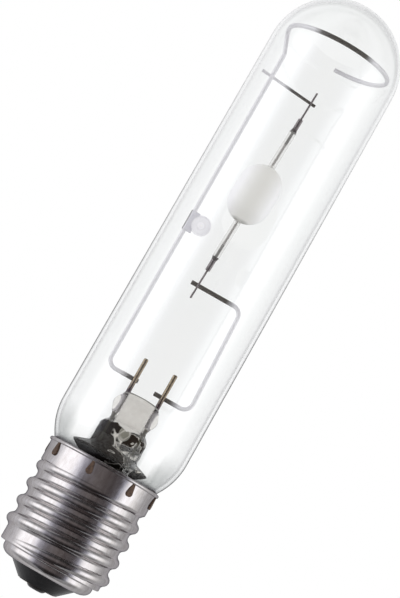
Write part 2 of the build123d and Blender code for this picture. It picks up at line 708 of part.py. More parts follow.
# Arc tube: ceramic barrel with round ends and two capillaries, sintered as one
with BuildPart() as arc_tube:
    with BuildSketch(arc_section):
        with BuildLine():
            outside = barrel_end(0, CAPILLARY_D / 2)
            inside = barrel_end(ARC_WALL, CAPILLARY_BORE / 2)
            Polyline(
                outside @ 1,
                (CAPILLARY_D / 2, CAPILLARY_END),
                (CAPILLARY_BORE / 2, CAPILLARY_END),
                inside @ 1,
            )
            Polyline(outside @ 0, (ARC_BODY_D / 2, 0), (ARC_BODY_D / 2 - ARC_WALL, 0), inside @ 0)
        make_face()
        mirror(about=Plane.XZ)
    revolve(axis=arc_axis)

pieces.update(
    shell_lead=shell_lead,
    shell_weld=shell_weld,
    contact_lead=contact_lead,
    long_frame_wire=long_frame_wire,
    short_frame_wire=short_frame_wire,
    upper_cross_wire=upper_cross_wire,
    getter_clip=getter_clip,
    getter_pan=getter_pan,
    getter_compound=getter_compound,
    arc_tube=arc_tube,
)

# Feedthrough, frit seal and electrode at each end of the arc tube
for end, way in (("upper", 1), ("lower", -1)):
    with BuildPart() as feedthrough:
        with BuildSketch(arc_section):
            Polygon(
                (0, way * ROD_END),
                (ROD_D / 2, way * ROD_END),
                (ROD_D / 2, way * (CAPILLARY_END + FRIT_LAYER)),
                (SLEEVE_D / 2, way * (CAPILLARY_END + FRIT_LAYER)),
                (SLEEVE_D / 2, way * SLEEVE_END),
                (ARC_LEAD_D / 2, way * SLEEVE_END),
                (ARC_LEAD_D / 2, way * ARC_LEAD_END),
                (0, way * ARC_LEAD_END),
                align=None,
            )
        revolve(axis=arc_axis)
    with BuildPart() as frit_seal:
        with BuildSketch(arc_section):
            Polygon(
                (ROD_D / 2, way * (CAPILLARY_END - FRIT_DEPTH)),
                (CAPILLARY_BORE / 2, way * (CAPILLARY_END - FRIT_DEPTH)),
                (CAPILLARY_BORE / 2, way * CAPILLARY_END),
                (FRIT_BEAD_D / 2, way * CAPILLARY_END),
                (SLEEVE_D / 2, way * (CAPILLARY_END + FRIT_BEAD_HEIGHT)),
                (SLEEVE_D / 2, way * (CAPILLARY_END + FRIT_LAYER)),
                (ROD_D / 2, way * (CAPILLARY_END + FRIT_LAYER)),
                align=None,
            )
        revolve(axis=arc_axis)
    with BuildPart() as electrode:
        with BuildSketch(arc_section):
            Polygon(
                (0, way * ELECTRODE_TIP),
                (COIL_D / 2, way * ELECTRODE_TIP),
                (COIL_D / 2, way * (ELECTRODE_TIP + COIL_LENGTH)),
                (ELECTRODE_D / 2, way * (ELECTRODE_TIP + COIL_LENGTH)),
                (ELECTRODE_D / 2, way * ROD_END),
                (0, way * ROD_END),
                align=None,
            )
        revolve(axis=arc_axis)
    pieces[f"{end}_feedthrough"] = feedthrough
    pieces[f"{end}_frit_seal"] = frit_seal
    pieces[f"{end}_electrode"] = electrode

for name, piece in pieces.items():
    piece.part.label = name
    export_step(piece.part, f"parts/{name}.step")
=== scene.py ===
import math

import bpy
from mathutils import Matrix, Vector, noise


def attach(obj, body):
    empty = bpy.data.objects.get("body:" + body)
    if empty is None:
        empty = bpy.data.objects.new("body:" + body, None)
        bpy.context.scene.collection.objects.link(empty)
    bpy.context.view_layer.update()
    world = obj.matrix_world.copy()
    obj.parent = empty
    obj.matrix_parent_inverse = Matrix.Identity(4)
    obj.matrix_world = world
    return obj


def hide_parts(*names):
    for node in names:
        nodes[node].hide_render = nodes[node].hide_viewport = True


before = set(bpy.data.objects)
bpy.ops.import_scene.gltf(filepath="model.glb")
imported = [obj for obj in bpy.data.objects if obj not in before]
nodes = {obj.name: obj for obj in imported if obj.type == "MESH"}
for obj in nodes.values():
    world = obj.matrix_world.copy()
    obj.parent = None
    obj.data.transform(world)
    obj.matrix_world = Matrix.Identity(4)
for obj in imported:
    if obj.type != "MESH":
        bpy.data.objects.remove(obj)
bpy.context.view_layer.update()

# Sizes in millimetres, as in the CAD frame: Z from the centre contact to the dome, -Y to the camera
MM = 0.001

# Screw cap
CAP_HEIGHT = 45.5
SHELL_SHEET = 0.5
THREAD_MAJOR_R = 19.7
THREAD_MINOR_R = 17.9
THREAD_PITCH = 6.35
THREAD_CREST_Z = 13.3  # lowest full crest, on the +X side
THREAD_TOP_DROP = 2.0  # highest full crest below the skirt
THREAD_FADE = 0.45  # turns over which each end of the thread sinks into the wall
THREAD_LAND = 0.1  # the plain core stands this much proud of the thread root
CORE_R = THREAD_MINOR_R + THREAD_LAND
SKIRT_R = 19.3
SKIRT_HEIGHT = 8.0
SKIRT_SLOPE = 1.3  # height of the slope from the skirt down to the core
SLOPE_MARGIN = 0.3  # plain wall above and below the slope before the next ring of points
SKIRT_Z = CAP_HEIGHT - SKIRT_HEIGHT
THREAD_TOP_Z = SKIRT_Z - THREAD_TOP_DROP
RIM_R = 19.6
RIM_FLARE = 3.0  # height of the flare from the skirt to the rim
BEAD_R = 0.6  # rolled edge of the rim
BEAD_INSET = 0.1  # the bead's middle inside the rim's radius
DISH_R = 16.1
DISH_Z = 5.5
DISH_HEIGHT = 3.8
DISH_ROUND = 2.8
DISH_REACH = 4.0  # how far the round of the dish reaches inwards
FOOT_Z = DISH_Z + DISH_HEIGHT
FOOT_ROUND = 0.45  # outer edge between the foot and the core
FOOT_FILLET = 0.2  # inner edge between the dish and the foot
MOUTH_R = 11.6

# Keyhole slots in the skirt, filled with cement
SLOT_COUNT = 8
SLOT_ANGLE = 259.0  # first slot, degrees about Z from +X
SLOT_WIDTH = 2.2
SLOT_TIP_WIDTH = 0.6
SLOT_LENGTH = 5.0
SLOT_TO_RIM = 0.5
SLOT_GAP = 0.03  # between the cement and the edge of a slot
CEMENT_BULGE = 0.5  # how far the cement stands out of a slot

# Outer bulb
BULB_R = 23.0
BULB_WALL = 1.2
NECK_R = 16.5
NECK_LENGTH = 17.5  # how far the neck reaches below the rim
NECK_Z = CAP_HEIGHT - NECK_LENGTH
SHOULDER_Z = CAP_HEIGHT + 1.4  # middle of the shoulder curve
SHOULDER_REACH = 11.6  # from that middle to each end of the curve
LIGHT_Z = CAP_HEIGHT + 102.5
DOME_Z = LIGHT_Z + 51.0
ARC_LEAN = 0.0377  # the arc tube leans to +X by this much for each millimetre of height

# Glass stem
STEM_WALL = 1.5
SEAL_HEIGHT = 1.2  # of the flare's foot below the neck
SEAL_GAP = 0.15
STEM_NECK_R = 9.2
STEM_NECK_BORE_R = 7.7
TUBE_R = 8.6
TUBE_BORE_R = 7.1
TUBE_TOP_Z = CAP_HEIGHT + 11.0
TUBE_ROUND = 3.4
RIB_R = 13.8
RIB_Z = CAP_HEIGHT + 3.0
RIB_SPAN_UP = 2.1
RIB_SPAN_DOWN = 2.6
RIB_EDGE = 0.35
PRESS_FOOT_Z = CAP_HEIGHT + 9.5
PRESS_HALF_X = 6.6
PRESS_HALF_Y = 2.8
PRESS_CROWN = 0.9  # drop of the top from its middle to its sides
CROWN_ABOVE_FOOT = 11  # where the crown starts, above the press's foot
CROWN_HEIGHT = 4.6
PRESS_SQUARE = 0.4  # power of the outline, an ellipse at 1 and a box near 0
EAR_ABOVE_FOOT = 10.5
EAR_HALF_HEIGHT = 3.6
EAR_WIDTH = 1.55
EAR_THINNING = 0.6
ROOT_THICKENING = 2.4  # of the press where it leaves the tube
ROOT_HEIGHT = 3.0
MELT_VOXEL = 0.36
MELT_ROUNDS = 6
RIPPLE_DEPTH = 0.22
RIPPLE_SIZE = 3.0
RIPPLE_LOW_Z = CAP_HEIGHT + 4
RIPPLE_HIGH_Z = CAP_HEIGHT + 24.5

# Floor, below what the photograph shows
FLOOR_Z = -300
FLOOR_R = 900
FLOOR_CORNERS = 96

# Camera: place of the lens, the point it looks at, its roll in degrees, its focal length and the picture's
# height in pixels, and the sensor in millimetres
CAMERA_AT = (0, -570.3, 26.5)
CAMERA_AIM = (0, 0, 108.28)
CAMERA_ROLL = 29.6
CAMERA_FOCAL = 1750
FRAME_HEIGHT = 598
SENSOR = 36

# Steps round the lamp's axis
BULB_TURNS = 160
SHELL_TURNS = 240
STEM_TURNS = 96
PRESS_TURNS = 48


# Meshes

def add_object(name, verts, faces):
    """Object in the scene with a mesh from points in millimetres."""
    mesh = bpy.data.meshes.new(name)
    mesh.from_pydata([tuple(c * MM for c in vert) for vert in verts], [], faces)
    piece = bpy.data.objects.new(name, mesh)
    bpy.context.scene.collection.objects.link(piece)
    return piece


def place(name, verts, faces, material, stands_for):
    """Smooth piece that rides on the lamp and stands for CAD nodes."""
    piece = add_object(name, verts, faces)
    piece.data.validate()
    piece.data.shade_smooth()
    piece.data.materials.append(material)
    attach(piece, "root")
    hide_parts(*stands_for)
    return piece


def settle(piece):
    """Applies a piece's modifiers to its mesh."""
    seen = piece.evaluated_get(bpy.context.evaluated_depsgraph_get())
    mesh = bpy.data.meshes.new_from_object(seen)
    piece.modifiers.clear()
    old = piece.data
    piece.data = mesh
    bpy.data.meshes.remove(old)
    mesh.shade_smooth()


def arc(centre, radius, start, end, steps):
    """Points on an arc of a section, angles in degrees."""
    points = []
    for i in range(steps + 1):
        angle = math.radians(start + (end - start) * i / steps)
        points.append((centre[0] + radius * math.cos(angle), centre[1] + radius * math.sin(angle)))
    return points


def run(start, end, steps):
    """Evenly spaced points on a straight line of a section."""
    points = []
    for i in range(steps + 1):
        t = i / steps
        points.append((start[0] + (end[0] - start[0]) * t, start[1] + (end[1] - start[1]) * t))
    return points


def lathe(outline, turns):
    """Points and faces of a closed section of (radius, height) turned about the lamp axis."""
    verts = []
    rings = []
    for radius, height in outline:
        first = len(verts)
        if radius < 1e-6:
            verts.append((0, 0, height))
            rings.append([first] * turns)
            continue
        for i in range(turns):
            angle = 2 * math.pi * i / turns
            verts.append((radius * math.cos(angle), radius * math.sin(angle), height))
        rings.append(list(range(first, first + turns)))
    faces = []
    for low, high in zip(rings, rings[1:] + rings[:1]):
        for i in range(turns):
            j = (i + 1) % turns
            corners = []
            for corner in (low[i], low[j], high[j], high[i]):
                if corner not in corners:
                    corners.append(corner)
            if len(corners) > 2:
                faces.append(corners)
    return verts, faces


def bulb_outline(grow):
    """Half section of the bulb's outside from the neck to the top of the dome, moved outwards by grow."""
    turn = 2 * math.atan((BULB_R - NECK_R) / (2 * SHOULDER_REACH))
    bend = SHOULDER_REACH / math.sin(turn)
    turn = math.degrees(turn)
    points = run((NECK_R + grow, NECK_Z), (NECK_R + grow, SHOULDER_Z - SHOULDER_REACH), 2)[:-1]
    points += arc((NECK_R + bend, SHOULDER_Z - SHOULDER_REACH), bend - grow, 180, 180 - turn, 14)[:-1]
    points += arc((BULB_R - bend, SHOULDER_Z + SHOULDER_REACH), bend + grow, -turn, 0, 14)[:-1]
    points += run((BULB_R + grow, SHOULDER_Z + SHOULDER_REACH), (BULB_R + grow, DOME_Z), 24)[:-1]
    points += arc((0, DOME_Z), BULB_R + grow, 0, 90, 30)
    points[-1] = (0, DOME_Z + BULB_R + grow)
    return points


# Materials

def new_material(name):
    """A material with its node tree and its main shader."""
    material = bpy.data.materials.new(name)
    material.use_nodes = True
    return material, material.node_tree, material.node_tree.nodes["Principled BSDF"]


def add_node(tree, kind, **values):
    """A node with values for its sockets, by name with underscores for spaces."""
    node = tree.nodes.new(kind)
    for name, value in values.items():
        node.inputs[name.replace("_", " ")].default_value = value
    return node


def place_noise(tree, scale, detail=4.0, stretch=(1, 1, 1)):
    """Noise in the lamp's own frame, with features of about one over scale millimetres."""
    where = tree.nodes.new("ShaderNodeTexCoord")
    mapping = tree.nodes.new("ShaderNodeMapping")
    mapping.inputs["Scale"].default_value = [s * scale / MM for s in stretch]
    cloud = add_node(tree, "ShaderNodeTexNoise", Scale=1.0, Detail=detail)
    tree.links.new(where.outputs["Object"], mapping.inputs["Vector"])
    tree.links.new(mapping.outputs["Vector"], cloud.inputs["Vector"])
    return cloud.outputs["Fac"]


def ramp(tree, factor, stops):
    """Colour by a factor, from (position, colour) stops."""
    node = tree.nodes.new("ShaderNodeValToRGB")
    tree.links.new(factor, node.inputs["Fac"])
    elements = node.color_ramp.elements
    while len(elements) < len(stops):
        elements.new(1.0)
    for element, (position, colour) in zip(elements, stops):
        element.position = position
        element.color = (*colour, 1.0)
    return node.outputs["Color"]


def spread(tree, factor, low, high, start=0.3, end=0.7):
    """A factor between start and end mapped to low to high."""
    node = add_node(tree, "ShaderNodeMapRange", From_Min=start, From_Max=end, To_Min=low, To_Max=high)
    tree.links.new(factor, node.inputs["Value"])
    return node.outputs["Result"]


def place_axis(tree, axis):
    """A coordinate of the lamp's own frame, in millimetres."""
    where = tree.nodes.new("ShaderNodeTexCoord")
    parts = tree.nodes.new("ShaderNodeSeparateXYZ")
    tree.links.new(where.outputs["Object"], parts.inputs[0])
    return calculate(tree, "DIVIDE", parts.outputs[axis], MM)


def calculate(tree, kind, first, second):
    """Arithmetic on sockets or numbers."""
    node = tree.nodes.new("ShaderNodeMath")
    node.operation = kind
    for socket, value in zip(node.inputs, (first, second)):
        if isinstance(value, (int, float)):
            socket.default_value = value
        else:
            tree.links.new(value, socket)
    return node.outputs[0]


def bulge(tree, value, middle, half):
    """One at a middle, falling to zero half a width away on either side and below zero past that."""
    share = calculate(tree, "DIVIDE", calculate(tree, "SUBTRACT", value, middle), half)
    size = calculate(tree, "ABSOLUTE", share, 0.0)
    return calculate(tree, "SUBTRACT", 1.0, calculate(tree, "POWER", size, 2.0))


def mix_colour(tree, factor, first, second):
    """Blend of two colours, given as sockets or tuples, by a factor."""
    node = tree.nodes.new("ShaderNodeMix")
    node.data_type = "RGBA"
    tree.links.new(factor, node.inputs[0])
    for socket, value in zip((node.inputs[6], node.inputs[7]), (first, second)):
        if isinstance(value, tuple):
            socket.default_value = (*value, 1.0)
        else:
            tree.links.new(value, socket)
    return node.outputs[2]


def mix_value(tree, factor, first, second):
    """Blend of two values by a factor."""
    rest = calculate(tree, "SUBTRACT", 1.0, factor)
    first_share = calculate(tree, "MULTIPLY", rest, first)
    second_share = calculate(tree, "MULTIPLY", factor, second)
    return calculate(tree, "ADD", first_share, second_share)


def add_bump(tree, shader, factor, depth, strength=1.0):
    """Bump of a depth in millimetres on a shader."""
    bump = add_node(tree, "ShaderNodeBump", Strength=strength, Distance=depth * MM)
    tree.links.new(factor, bump.inputs["Height"])
    tree.links.new(bump.outputs["Normal"], shader.inputs["Normal"])


def metal(name, dark, light, rough, grain, stretch=(1, 1, 1), bump=0.01):
    """Metal whose colour and roughness vary with a noise."""
    material, tree, shader = new_material(name)
    shader.inputs["Metallic"].default_value = 1.0
    factor = place_noise(tree, grain, 5.0, stretch)
    tree.links.new(ramp(tree, factor, [(0.3, dark), (0.7, light)]), shader.inputs["Base Color"])
    tree.links.new(spread(tree, factor, rough[0], rough[1]), shader.inputs["Roughness"])
    add_bump(tree, shader, factor, bump)
    return material


def clear_glass(name, tint, streak, rough):
    """Clear glass with faint waves from blowing and drawing."""
    material, tree, shader = new_material(name)
    shader.inputs["Transmission Weight"].default_value = 1.0
    shader.inputs["IOR"].default_value = 1.5
    factor = place_noise(tree, 0.08, 2.0, (1, 1, 0.25))
    tree.links.new(ramp(tree, factor, [(0.3, tint), (0.7, streak)]), shader.inputs["Base Color"])
    tree.links.new(spread(tree, factor, rough[0], rough[1]), shader.inputs["Roughness"])
    add_bump(tree, shader, factor, 0.05, 0.3)
    return material


def matte(name, dark, light, rough, grain, bump):
    """Grainy dull surface."""
    material, tree, shader = new_material(name)
    factor = place_noise(tree, grain, 6.0)
    tree.links.new(ramp(tree, factor, [(0.3, dark), (0.7, light)]), shader.inputs["Base Color"])
    shader.inputs["Roughness"].default_value = rough
    add_bump(tree, shader, factor, bump)
    return material


tube_glass = clear_glass("tube_glass", (0.90, 0.91, 0.87), (0.95, 0.95, 0.92), (0.0, 0.05))
nickel = metal("nickel_plate", (0.54, 0.51, 0.50), (0.66, 0.64, 0.64), (0.12, 0.21), 0.9, (1, 1, 0.4))
nickel.node_tree.nodes["Principled BSDF"].inputs["Specular Tint"].default_value = (0.38, 0.37, 0.39, 1.0)
lead_metal = metal("lead_metal", (0.16, 0.13, 0.11), (0.30, 0.25, 0.21), (0.3, 0.45), 2.0)
arc_lead_metal = metal("arc_lead_metal", (0.20, 0.18, 0.18), (0.34, 0.31, 0.31), (0.3, 0.45), 3.0)
contact_metal = metal("contact_metal", (0.06, 0.05, 0.045), (0.13, 0.11, 0.09), (0.35, 0.55), 0.8)
solder_metal = metal(
    "solder_metal", (0.05, 0.048, 0.05), (0.12, 0.115, 0.115), (0.35, 0.55), 0.9, bump=0.05
)
cement = matte("baked_cement", (0.045, 0.026, 0.018), (0.12, 0.07, 0.045), 0.75, 1.4, 0.08)
frit = matte("frit", (0.05, 0.045, 0.045), (0.11, 0.10, 0.10), 0.25, 2.0, 0.02)
powder = matte("getter_powder", (0.70, 0.69, 0.72), (0.80, 0.79, 0.82), 0.7, 3.0, 0.03)
insulator_glass = matte("black_glass", (0.004, 0.004, 0.005), (0.010, 0.009, 0.010), 0.34, 0.5, 0.03)
insulator_glass.node_tree.nodes["Principled BSDF"].inputs["IOR"].default_value = 1.3


def stem_material():
    """Pressed glass: dull at the press, with painted shade on the left of the tube and the rib where the
    glass shows dark, and painted glints on its right.
    """
    material, tree, shader = new_material("stem_glass")
    shader.inputs["IOR"].default_value = 1.5
    shader.inputs["Specular IOR Level"].default_value = 0.06
    across = place_axis(tree, "X")
    height = place_axis(tree, "Z")
    cloud = place_noise(tree, 0.22, 3.0)
    fine = place_noise(tree, 0.7, 4.0)
    vent_z = CAP_HEIGHT + 11.6

    # Bare face of the press, and the vent of the exhaust tube below it
    ragged = calculate(tree, "ADD", height, spread(tree, cloud, -1.3, 1.3))
    press = spread(tree, ragged, 0.0, 1.0, CAP_HEIGHT + 12.9, CAP_HEIGHT + 13.5)
    face = calculate(tree, "MULTIPLY", press, bulge(tree, across, 0.0, 5.6))
    face = spread(tree, face, 0.0, 1.0, 0.2, 0.4)
    vent = calculate(tree, "ADD", bulge(tree, across, 0.4, 2.0), bulge(tree, height, vent_z, 2.6))
    vent = spread(tree, vent, 0.0, 1.0, 1.0, 1.25)

    # Painted shade where the glass shows dark: dark below about a half and clear above
    patches = calculate(tree, "ADD", spread(tree, cloud, -0.22, 0.22), spread(tree, fine, -0.08, 0.08))
    on_tube = spread(tree, across, 0.0, 1.0, -9.5, 6.5)
    under_press = spread(tree, bulge(tree, height, CAP_HEIGHT + 10.6, 2.4), 0.0, -0.45, 0.0, 0.5)
    gap = calculate(tree, "ABSOLUTE", calculate(tree, "SUBTRACT", across, 7.0), 0.0)
    on_rib = spread(tree, gap, 0.95, 0.0, 0.0, 6.0)
    above_rib = spread(tree, height, 0.0, 1.0, CAP_HEIGHT + 4.5, CAP_HEIGHT + 6.5)
    painted_shade_factor = mix_value(tree, above_rib, on_rib, calculate(tree, "ADD", on_tube, under_press))
    for part in (patches, press, vent):
        painted_shade_factor = calculate(tree, "ADD", painted_shade_factor, part)
    painted_shade_colour = ramp(tree, painted_shade_factor, [
        (0.0, (0.010, 0.007, 0.004)),
        (0.49, (0.020, 0.014, 0.009)),
        (0.53, (0.66, 0.63, 0.58)),
        (0.58, (0.93, 0.91, 0.88)),
    ])

    # Pale ridges of painted glint in the painted shade, a painted shade line along the crowned top, and
    # the seal wires' dark lines
    contour = calculate(tree, "SUBTRACT", place_noise(tree, 0.13, 1.5), 0.46)
    contour = calculate(tree, "ABSOLUTE", contour, 0.0)
    right_half = spread(tree, across, 0.0, 1.0, -3.8, -2.4)
    painted_glint = calculate(tree, "MULTIPLY", spread(tree, contour, 1.0, 0.0, 0.004, 0.016), right_half)
    # Painted shade: a dark line along the crowned top of the press
    drop = calculate(tree, "MULTIPLY", calculate(tree, "POWER", across, 2.0), 0.0207)
    crown = calculate(tree, "ADD", height, drop)
    crown = spread(tree, crown, 0.0, 0.85, CAP_HEIGHT + 24.3, CAP_HEIGHT + 24.7)
    beside = bulge(tree, calculate(tree, "ABSOLUTE", across, 0.0), 5.75, 0.5)
    wires = calculate(tree, "MINIMUM", beside, bulge(tree, height, vent_z, 6.0))
    wires = spread(tree, wires, 0.0, 0.9, 0.1, 0.4)

    pressed = ramp(tree, fine, [(0.3, (0.74, 0.715, 0.68)), (0.7, (0.82, 0.80, 0.765))])
    colour = mix_colour(tree, vent, painted_shade_colour, (0.33, 0.32, 0.27))
    # Painted glints, pale, on the right of the stem
    colour = mix_colour(tree, painted_glint, colour, (0.72, 0.69, 0.64))
    colour = mix_colour(tree, face, colour, pressed)
    # Painted shade line along the crowned top
    colour = mix_colour(tree, crown, colour, (0.07, 0.065, 0.06))
    colour = mix_colour(tree, wires, colour, (0.030, 0.027, 0.017))
    tree.links.new(colour, shader.inputs["Base Color"])
    dull_face = calculate(tree, "MULTIPLY", face, 0.72)
    dulled = calculate(tree, "MAXIMUM", dull_face, calculate(tree, "MULTIPLY", vent, 0.5))
    clear = calculate(tree, "SUBTRACT", spread(tree, painted_shade_factor, 0.0, 0.94, 0.51, 0.58), dulled)
    clear = calculate(tree, "SUBTRACT", clear, calculate(tree, "MAXIMUM", crown, wires))
    tree.links.new(calculate(tree, "MAXIMUM", clear, 0.0), shader.inputs["Transmission Weight"])
    tree.links.new(spread(tree, fine, 0.02, 0.12), shader.inputs["Roughness"])
    add_bump(tree, shader, fine, 0.06)
    return material


def ceramic_material():
    """White ceramic with painted shade, beige down its middle and paler towards its left and right,
    clearer along the thin capillaries than in the barrel.
    """
    material, tree, shader = new_material("arc_ceramic")
    cloud = place_noise(tree, 0.16, 1.0)
    white = ramp(tree, cloud, [(0.3, (0.975, 0.965, 0.99)), (0.7, (0.995, 0.99, 1.0))])
    height = calculate(tree, "SUBTRACT", place_axis(tree, "Z"), LIGHT_Z)
    axis_x = calculate(tree, "MULTIPLY", height, ARC_LEAN)
    across = calculate(tree, "SUBTRACT", place_axis(tree, "X"), axis_x)
    # Painted shade: beige along the middle of the tube across X
    painted_middle_shade = spread(tree, bulge(tree, across, -1.0, 6.0), 0.0, 1.0, 0.0, 1.0)
    tree.links.new(mix_colour(tree, painted_middle_shade, white, (0.76, 0.75, 0.72)), shader.inputs["Base Color"])
    tree.links.new(spread(tree, cloud, 0.34, 0.4), shader.inputs["Roughness"])
    offset = calculate(tree, "ABSOLUTE", height, 0.0)
    tree.links.new(spread(tree, offset, 1.0, 0.2, 9.8, 11.2), shader.inputs["Alpha"])
    add_bump(tree, shader, cloud, 0.01)
    return material


def pin_material():
    """Tan plated pins, burnt dark above the press, and pale inside it with painted glints."""
    material, tree, shader = new_material("pin_metal")
    shader.inputs["Metallic"].default_value = 1.0
    streaks = place_noise(tree, 1.6, 5.0, (1, 1, 0.3))
    plate = ramp(tree, streaks, [(0.3, (0.27, 0.215, 0.15)), (0.7, (0.41, 0.345, 0.25))])
    height = place_axis(tree, "Z")
    burnt = spread(tree, height, 1.0, 0.0, CAP_HEIGHT + 25.0, CAP_HEIGHT + 29.0)
    # Painted glints: pale lavender inside the press
    painted_press_glint = spread(tree, height, 1.0, 0.0, CAP_HEIGHT + 22.6, CAP_HEIGHT + 23.4)
    colour = mix_colour(tree, burnt, plate, (0.12, 0.095, 0.10))
    tree.links.new(mix_colour(tree, painted_press_glint, colour, (0.88, 0.86, 0.89)), shader.inputs["Base Color"])
    rough = mix_value(tree, painted_press_glint, spread(tree, streaks, 0.16, 0.28), 0.6)
    tree.links.new(rough, shader.inputs["Roughness"])
    add_bump(tree, shader, streaks, 0.01)
    return material


def frame_material():
    """Pale frame wire, with painted shade that darkens it near the lamp's middle."""
    material, tree, shader = new_material("frame_metal")
    shader.inputs["Metallic"].default_value = 0.55
    grain = place_noise(tree, 2.0, 5.0)
    pale = ramp(tree, grain, [(0.3, (0.73, 0.72, 0.74)), (0.7, (0.83, 0.82, 0.845))])
    dark = ramp(tree, grain, [(0.3, (0.09, 0.08, 0.07)), (0.7, (0.15, 0.14, 0.125))])
    # Painted shade standing for dark reflections: dark near the axis, pale from about 11 mm out in X or 9
    # mm back in Y
    aside = spread(tree, calculate(tree, "ABSOLUTE", place_axis(tree, "X"), 0.0), 0.0, 1.0, 8.0, 11.0)
    beyond_painted_shade = calculate(tree, "MAXIMUM", aside, spread(tree, place_axis(tree, "Y"), 0.0, 1.0, 6.0, 9.0))
    tree.links.new(mix_colour(tree, beyond_painted_shade, dark, pale), shader.inputs["Base Color"])
    tree.links.new(spread(tree, grain, 0.44, 0.56), shader.inputs["Roughness"])
    add_bump(tree, shader, grain, 0.01)
    return material


def getter_material():
    """Dull plated strip and pan, with painted shade at the strip's fold round the wire."""
    material, tree, shader = new_material("getter_metal")
    shader.inputs["Metallic"].default_value = 0.25
    grain = place_noise(tree, 1.5, 5.0)
    strip = ramp(tree, grain, [(0.3, (0.56, 0.55, 0.60)), (0.7, (0.68, 0.67, 0.72))])
    pan = ramp(tree, grain, [(0.3, (0.90, 0.89, 0.93)), (0.7, (0.97, 0.96, 0.98))])
    across = place_axis(tree, "X")
    plate = mix_colour(tree, spread(tree, across, 0.0, 1.0, -14.0, -13.4), strip, pan)
    # Painted shade along the fold
    painted_fold_shade = spread(tree, across, 1.0, 0.0, -16.75, -16.45)
    tree.links.new(mix_colour(tree, painted_fold_shade, plate, (0.16, 0.15, 0.15)), shader.inputs["Base Color"])
    tree.links.new(spread(tree, grain, 0.38, 0.5), shader.inputs["Roughness"])
    add_bump(tree, shader, grain, 0.01)
    return material


def bulb_material():
    """Clear glass with faint waves, with a streaked grey painted reflection in the shoulder and the neck,
    left clear in two strips, and painted shade along the rim.
    """
    material, tree, shader = new_material("bulb_glass")
    shader.inputs["Transmission Weight"].default_value = 1.0
    shader.inputs["IOR"].default_value = 1.5
    waves = place_noise(tree, 0.08, 2.0, (1, 1, 0.25))
    streaks = place_noise(tree, 0.35, 3.0, (1, 1, 0.12))
    clear = ramp(tree, waves, [(0.3, (0.985, 0.993, 0.990)), (0.7, (0.995, 0.998, 0.996))])
    reflection_grey = ramp(tree, streaks, [(0.35, (0.55, 0.565, 0.56)), (0.65, (0.68, 0.69, 0.685))])
    across = place_axis(tree, "X")
    height = place_axis(tree, "Z")
    low = spread(tree, height, 1.0, 0.0, CAP_HEIGHT, CAP_HEIGHT + 14.0)
    # Painted reflection: grey low on the bulb, left clear in two strips above the rim
    strips = calculate(tree, "MAXIMUM", bulge(tree, across, -12.6, 4.2), bulge(tree, across, 11.8, 3.2))
    strips = spread(tree, strips, 1.0, 0.0, 0.0, 0.5)
    above_rim = spread(tree, height, 0.0, 1.0, CAP_HEIGHT + 1.5, CAP_HEIGHT + 4.0)
    strips = mix_value(tree, above_rim, 1.0, strips)
    painted_reflection = calculate(tree, "MULTIPLY", calculate(tree, "POWER", low, 1.2), strips)
    # Painted shade: dark just above the rim
    rim_shade = spread(tree, height, 0.85, 0.0, CAP_HEIGHT + 0.5, CAP_HEIGHT + 1.8)
    colour = mix_colour(tree, rim_shade, mix_colour(tree, painted_reflection, clear, reflection_grey), (0.22, 0.22, 0.23))
    tree.links.new(colour, shader.inputs["Base Color"])
    tree.links.new(spread(tree, waves, 0.0, 0.012), shader.inputs["Roughness"])
    add_bump(tree, shader, waves, 0.05, 0.3)
    return material


bulb_glass = bulb_material()
getter_metal = getter_material()
frame_metal = frame_material()
pin_metal = pin_material()
stem_glass = stem_material()
ceramic = ceramic_material()

for node, material in {
    "basing_cement": cement,
    "cap_insulator": insulator_glass,
    "centre_contact": contact_metal,
    "contact_solder": solder_metal,
    "left_lead_pin": pin_metal,
    "right_lead_pin": pin_metal,
    "left_seal_wire": lead_metal,
    "right_seal_wire": lead_metal,
    "shell_lead": lead_metal,
    "shell_weld": lead_metal,
    "contact_lead": lead_metal,
    "long_frame_wire": frame_metal,
    "short_frame_wire": frame_metal,
    "upper_cross_wire": frame_metal,
    "getter_clip": getter_metal,
    "getter_pan": getter_metal,
    "getter_compound": powder,
    "arc_tube": ceramic,
    "upper_feedthrough": arc_lead_metal,
    "lower_feedthrough": arc_lead_metal,
    "upper_frit_seal": frit,
    "lower_frit_seal": frit,
    "upper_electrode": arc_lead_metal,
    "lower_electrode": arc_lead_metal,
    "exhaust_tube": tube_glass,
}.items():
    slots = nodes[node].data.materials
    slots.clear()
    slots.append(material)


# Screw shell: plain section turned, with the thread standing out of its wall and the slots cut

def thread_radius(angle, z):
    """Radius of the round thread at an angle in radians and a height, its ends sunk into the wall."""
    depth = THREAD_MAJOR_R - THREAD_MINOR_R
    bend = (THREAD_PITCH**2 / 4 + depth**2) / (4 * depth)
    crest_x = THREAD_MAJOR_R - bend
    root_x = crest_x + 2 * bend - depth
    last = (THREAD_TOP_Z - THREAD_CREST_Z) / THREAD_PITCH
    part_turn = angle / (2 * math.pi)
    nearest = round((z - THREAD_CREST_Z) / THREAD_PITCH - part_turn)
    reach = 0
    for turn in (nearest - 1, nearest, nearest + 1):
        along = part_turn + turn
        if not -THREAD_FADE <= along <= last + THREAD_FADE:
            continue
        sink = (depth + THREAD_LAND) * max(0, -along) / THREAD_FADE
        sink += (THREAD_MAJOR_R - SKIRT_R + THREAD_LAND) * max(0, along - last) / THREAD_FADE
        offset = abs(z - THREAD_CREST_Z - THREAD_PITCH * along)
        if offset > THREAD_PITCH / 2:
            continue
        crest = crest_x + math.sqrt(max(0, bend**2 - offset**2))
        root = root_x - math.sqrt(max(0, bend**2 - (THREAD_PITCH / 2 - offset) ** 2))
        split_at = bend * THREAD_PITCH / 2 / math.hypot(THREAD_PITCH / 2, root_x - crest_x)
        reach = max(reach, (crest if offset < split_at else root) - sink)
    return reach


